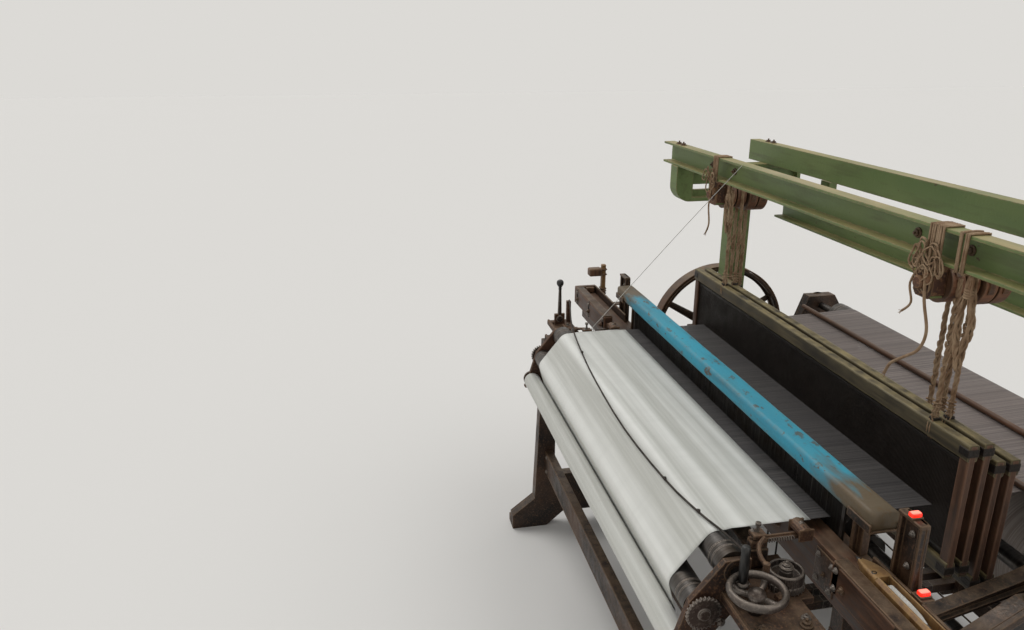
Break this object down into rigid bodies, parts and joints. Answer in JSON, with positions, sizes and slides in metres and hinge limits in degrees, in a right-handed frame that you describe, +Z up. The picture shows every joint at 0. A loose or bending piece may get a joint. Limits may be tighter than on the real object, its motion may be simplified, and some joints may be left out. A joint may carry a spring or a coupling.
{
  "type": "power loom",
  "caption": "Power loom with cast side frames, overhead heald channels, rocking sley with reed and shuttle boxes, cloth rollers and a warp beam.",
  "frame": {"origin": "on the floor under the centre of the loom", "axes": "+X along the loom to the pictured end, -Y the weaver's side, +Z up"},
  "size_m": [2.32, 1.56, 1.515],
  "materials": {
    "black_iron": "oily, dusty and rusted",
    "worn_steel": "worn and oily",
    "green_paint": "weathered paint",
    "ochre_paint": "weathered paint",
    "teal_paint": "worn paint",
    "worn_wood": "dark worn wood",
    "cotton": "plain cotton",
    "belt_leather": "worn",
    "red_plastic": "gloss",
    "black_plastic": "worn black"
  },
  "bodies": {
    "frame": {"side_frame_left": "black_iron", "side_frame_right": "black_iron", "front_cross_rail": "black_iron", "rear_cross_rail": "black_iron", "breast_rail": "worn_steel", "top_arm_left": "green_paint", "top_arm_right": "ochre_paint", "front_girder": "green_paint", "back_girder": "green_paint", "slotted_channel": "green_paint", "roller_bracket_left": "black_iron", "roller_bracket_right": "black_iron", "temple_left": "worn_wood", "temple_right": "worn_wood", "cloth": "cotton", "warp_sheet": "cotton", "warp_shed": "cotton", "lease_rods": "worn_wood", "motor": "green_paint", "drive_belt": "belt_leather", "stop_cord": "cotton", "girder_thread": "cotton"},
    "crank": {"crankshaft": "worn_steel", "loom_pulley": "black_iron", "crank_gear": "black_iron"},
    "crank_arm_left": {"crank_arm_left": "black_iron"},
    "crank_arm_right": {"crank_arm_right": "black_iron"},
    "tappets": {"tappet_shaft": "worn_steel", "tappet_gear": "black_iron"},
    "motor_pulley": {"motor_pulley": "black_iron"},
    "sley": {"rocking_shaft": "black_iron", "sword_left": "black_iron", "sword_right": "black_iron", "sley_beam": "worn_wood", "reed": "worn_steel", "reed_cap": "teal_paint", "shuttle_box_left": "worn_wood", "shuttle_box_right": "worn_wood", "box_lamps": "red_plastic"},
    "picking_stick_left": {"picking_stick_left": "worn_wood"},
    "picking_stick_right": {"picking_stick_right": "worn_wood"},
    "shuttle": {"shuttle": "worn_wood"},
    "drum_left": {"heald_drum_left": "worn_wood"},
    "drum_right": {"heald_drum_right": "worn_wood"},
    "healds_front": {"heald_1": "worn_wood", "heald_2": "worn_wood"},
    "healds_back": {"heald_3": "worn_wood", "heald_4": "worn_wood"},
    "treadle_front": {"treadle_front": "black_iron"},
    "treadle_back": {"treadle_back": "black_iron"},
    "guide_roller": {"guide_roller": "worn_steel"},
    "take_up_roller": {"take_up_roller": "worn_steel"},
    "cloth_roll": {"cloth_roll": "cotton"},
    "handwheel": {"handwheel": "worn_steel", "crank_handle": "black_plastic"},
    "ratchet_wheel": {"ratchet_wheel": "black_iron"},
    "back_rest": {"back_rest_roller": "worn_wood"},
    "warp_beam": {"warp_beam": "worn_wood", "warp_yarn": "cotton"},
    "starting_handle": {"starting_handle": "black_plastic"}
  },
  "joints": [
    {"name": "crank_spin", "type": "hinge", "parent": "frame", "child": "crank", "pos_m": [0, 0.115, 0.74], "axis": [1, 0, 0], "continuous": true},
    {"name": "arm_left_spin", "type": "hinge", "parent": "crank", "child": "crank_arm_left", "pos_m": [-0.745, 0.08921, 0.80075], "axis": [1, 0, 0], "continuous": true},
    {"name": "arm_right_spin", "type": "hinge", "parent": "crank", "child": "crank_arm_right", "pos_m": [0.745, 0.08921, 0.80075], "axis": [1, 0, 0], "continuous": true},
    {"name": "tappet_spin", "type": "hinge", "parent": "frame", "child": "tappets", "pos_m": [0, 0.2, 0.36], "axis": [1, 0, 0], "continuous": true},
    {"name": "motor_spin", "type": "hinge", "parent": "frame", "child": "motor_pulley", "pos_m": [-0.97, 0.5, 0.2], "axis": [1, 0, 0], "continuous": true},
    {"name": "sley_rock", "type": "hinge", "parent": "frame", "child": "sley", "pos_m": [0, -0.345, 0.12], "axis": [1, 0, 0], "range_deg": [-8.5, 3.4]},
    {"name": "pick_left", "type": "hinge", "parent": "sley", "child": "picking_stick_left", "pos_m": [-1.12, -0.335, 0.14], "axis": [0, 1, 0], "range_deg": [0, 14]},
    {"name": "pick_right", "type": "hinge", "parent": "sley", "child": "picking_stick_right", "pos_m": [1.12, -0.335, 0.14], "axis": [0, 1, 0], "range_deg": [-14, 0]},
    {"name": "shuttle_flight", "type": "slide", "parent": "sley", "child": "shuttle", "axis": [1, 0, 0], "range_m": [-1.81, 0]},
    {"name": "drum_right_turn", "type": "hinge", "parent": "frame", "child": "drum_right", "pos_m": [0.52, 0, 1.392], "axis": [0, 1, 0], "range_deg": [-5, 50]},
    {"name": "drum_left_turn", "type": "hinge", "parent": "frame", "child": "drum_left", "pos_m": [-0.52, 0, 1.392], "axis": [0, 1, 0], "range_deg": [-5, 50]},
    {"name": "healds_front_lift", "type": "slide", "parent": "frame", "child": "healds_front", "axis": [0, 0, 1], "range_m": [-0.041, 0.0045], "deforming": ["warp_shed"]},
    {"name": "healds_back_lift", "type": "slide", "parent": "frame", "child": "healds_back", "axis": [0, 0, 1], "range_m": [-0.005, 0.0495]},
    {"name": "treadle_front_swing", "type": "hinge", "parent": "frame", "child": "treadle_front", "pos_m": [-0.03, 0.565, 0.16], "axis": [1, 0, 0], "range_deg": [-0.5, 3.8]},
    {"name": "treadle_back_swing", "type": "hinge", "parent": "frame", "child": "treadle_back", "pos_m": [0.03, 0.565, 0.16], "axis": [1, 0, 0], "range_deg": [-4.8, 0.6]},
    {"name": "take_up_spin", "type": "hinge", "parent": "frame", "child": "take_up_roller", "pos_m": [0, -0.691, 0.785], "axis": [1, 0, 0], "continuous": true},
    {"name": "guide_spin", "type": "hinge", "parent": "frame", "child": "guide_roller", "pos_m": [0, -0.621, 0.865], "axis": [1, 0, 0], "continuous": true},
    {"name": "cloth_roll_spin", "type": "hinge", "parent": "frame", "child": "cloth_roll", "pos_m": [0, -0.7315, 0.7], "axis": [1, 0, 0], "continuous": true},
    {"name": "handwheel_spin", "type": "hinge", "parent": "frame", "child": "handwheel", "pos_m": [0.763, -0.608, 0.84], "axis": [0, 0, 1], "continuous": true},
    {"name": "ratchet_spin", "type": "hinge", "parent": "frame", "child": "ratchet_wheel", "pos_m": [0.7, -0.511, 0.83], "axis": [0, 0, 1], "continuous": true},
    {"name": "warp_beam_spin", "type": "hinge", "parent": "frame", "child": "warp_beam", "pos_m": [0, 0.545, 0.5], "axis": [1, 0, 0], "continuous": true},
    {"name": "back_rest_spin", "type": "hinge", "parent": "frame", "child": "back_rest", "pos_m": [0, 0.475, 0.875], "axis": [1, 0, 0], "continuous": true},
    {"name": "starting_handle_swing", "type": "hinge", "parent": "frame", "child": "starting_handle", "pos_m": [-0.943, -0.565, 0.84], "axis": [1, 0, 0], "range_deg": [-10, 25]}
  ],
  "couplings": [
    {"joint": "arm_left_spin", "follows": "crank_spin", "ratio": -1},
    {"joint": "arm_right_spin", "follows": "crank_spin", "ratio": -1},
    {"joint": "tappet_spin", "follows": "crank_spin", "ratio": -0.5},
    {"joint": "motor_spin", "follows": "crank_spin", "ratio": 5.4},
    {"joint": "drum_left_turn", "follows": "drum_right_turn", "ratio": 1},
    {"joint": "healds_front_lift", "follows": "drum_right_turn", "m_per_rad": -0.0463},
    {"joint": "healds_back_lift", "follows": "drum_right_turn", "m_per_rad": 0.0563},
    {"joint": "treadle_front_swing", "follows": "drum_right_turn", "ratio": 0.0717},
    {"joint": "treadle_back_swing", "follows": "drum_right_turn", "ratio": -0.0924},
    {"joint": "guide_spin", "follows": "take_up_spin", "ratio": 0.8857},
    {"joint": "cloth_roll_spin", "follows": "take_up_spin", "ratio": -1.069},
    {"joint": "handwheel_spin", "follows": "take_up_spin", "ratio": 24},
    {"joint": "ratchet_spin", "follows": "take_up_spin", "ratio": -6},
    {"joint": "back_rest_spin", "follows": "warp_beam_spin", "ratio": 3.7778}
  ]
}
